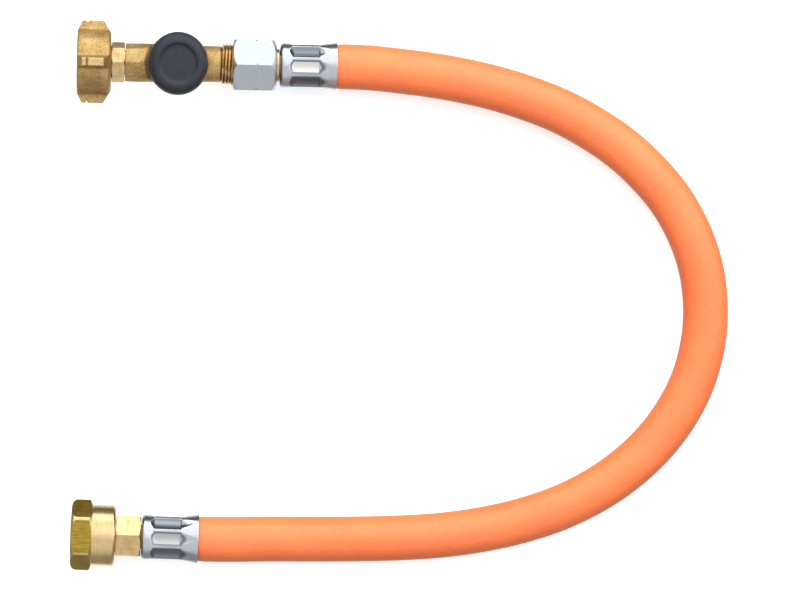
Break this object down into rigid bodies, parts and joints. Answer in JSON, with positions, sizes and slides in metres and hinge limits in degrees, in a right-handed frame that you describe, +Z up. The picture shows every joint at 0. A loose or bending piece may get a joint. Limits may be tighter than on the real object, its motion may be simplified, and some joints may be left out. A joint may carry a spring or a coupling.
{
  "type": "flexible gas hose assembly",
  "caption": "Short orange rubber gas hose with crimped ferrules, a lugged cylinder nut and push-button line-break valve at one end and a swivel nut at the other.",
  "frame": {"origin": "on the floor, under the middle of the box round the metal fittings, the hose left out", "axes": "+Z up from the floor the part lies on, +X from the fittings towards the bend of the hose, +Y from the swivel-nut end towards the cylinder-nut end"},
  "size_m": [0.2479, 0.2069, 0.0356],
  "materials": {
    "cast_brass": "sand-blasted casting",
    "turned_brass": "turned bright",
    "zinc_plate": "satin zinc plate",
    "ferrule_steel": "bright pressed sheet",
    "spring_steel": "drawn wire",
    "orange_rubber": "matte, cloth-wrapped texture",
    "black_rubber": "matte moulded",
    "seal_rubber": "matte",
    "nylon": "moulded"
  },
  "bodies": {
    "root": {"inlet_seal": "seal_rubber", "inlet_retaining_ring": "spring_steel", "inlet_nipple": "turned_brass", "nipple_o_ring": "seal_rubber", "valve_body": "cast_brass", "poppet_guide": "turned_brass", "poppet_spring": "spring_steel", "gland_bush": "turned_brass", "bush_o_ring": "seal_rubber", "pin_spring": "spring_steel", "steel_union_nut": "zinc_plate", "inlet_hose_tail": "turned_brass", "inlet_ferrule": "ferrule_steel", "hose": "orange_rubber", "outlet_ferrule": "ferrule_steel", "outlet_hose_tail": "turned_brass", "outlet_retaining_ring": "spring_steel", "outlet_seal": "seal_rubber"},
    "cylinder_nut": {"inlet_union_nut": "cast_brass"},
    "swivel_nut": {"outlet_union_nut": "turned_brass"},
    "button": {"button_cap": "black_rubber", "button_core": "nylon", "push_pin": "spring_steel", "pin_seal": "seal_rubber"},
    "line_break_poppet": {"poppet": "turned_brass", "poppet_seal": "seal_rubber"}
  },
  "joints": [
    {"name": "cylinder_nut_spin", "type": "hinge", "parent": "root", "child": "cylinder_nut", "pos_m": [-0.0472, 0.0876, 0.01617], "axis": [0.9979, -0.0174, -0.0628], "continuous": true},
    {"name": "swivel_nut_spin", "type": "hinge", "parent": "root", "child": "swivel_nut", "pos_m": [-0.0498, -0.0901, 0.01225], "axis": [0.9982, -0.0396, -0.0454], "continuous": true},
    {"name": "button_press", "type": "slide", "parent": "root", "child": "button", "axis": [-0.0618, 0.0534, -0.9967], "range_m": [0, 0.003], "stiffness_N_per_m": 800, "springref_m": -0.002, "deforming": ["pin_spring"]},
    {"name": "poppet_close", "type": "slide", "parent": "root", "child": "line_break_poppet", "axis": [0.9979, -0.0174, -0.0628], "range_m": [0, 0.0022], "stiffness_N_per_m": 100, "springref_m": -0.001, "deforming": ["poppet_spring"]}
  ]
}
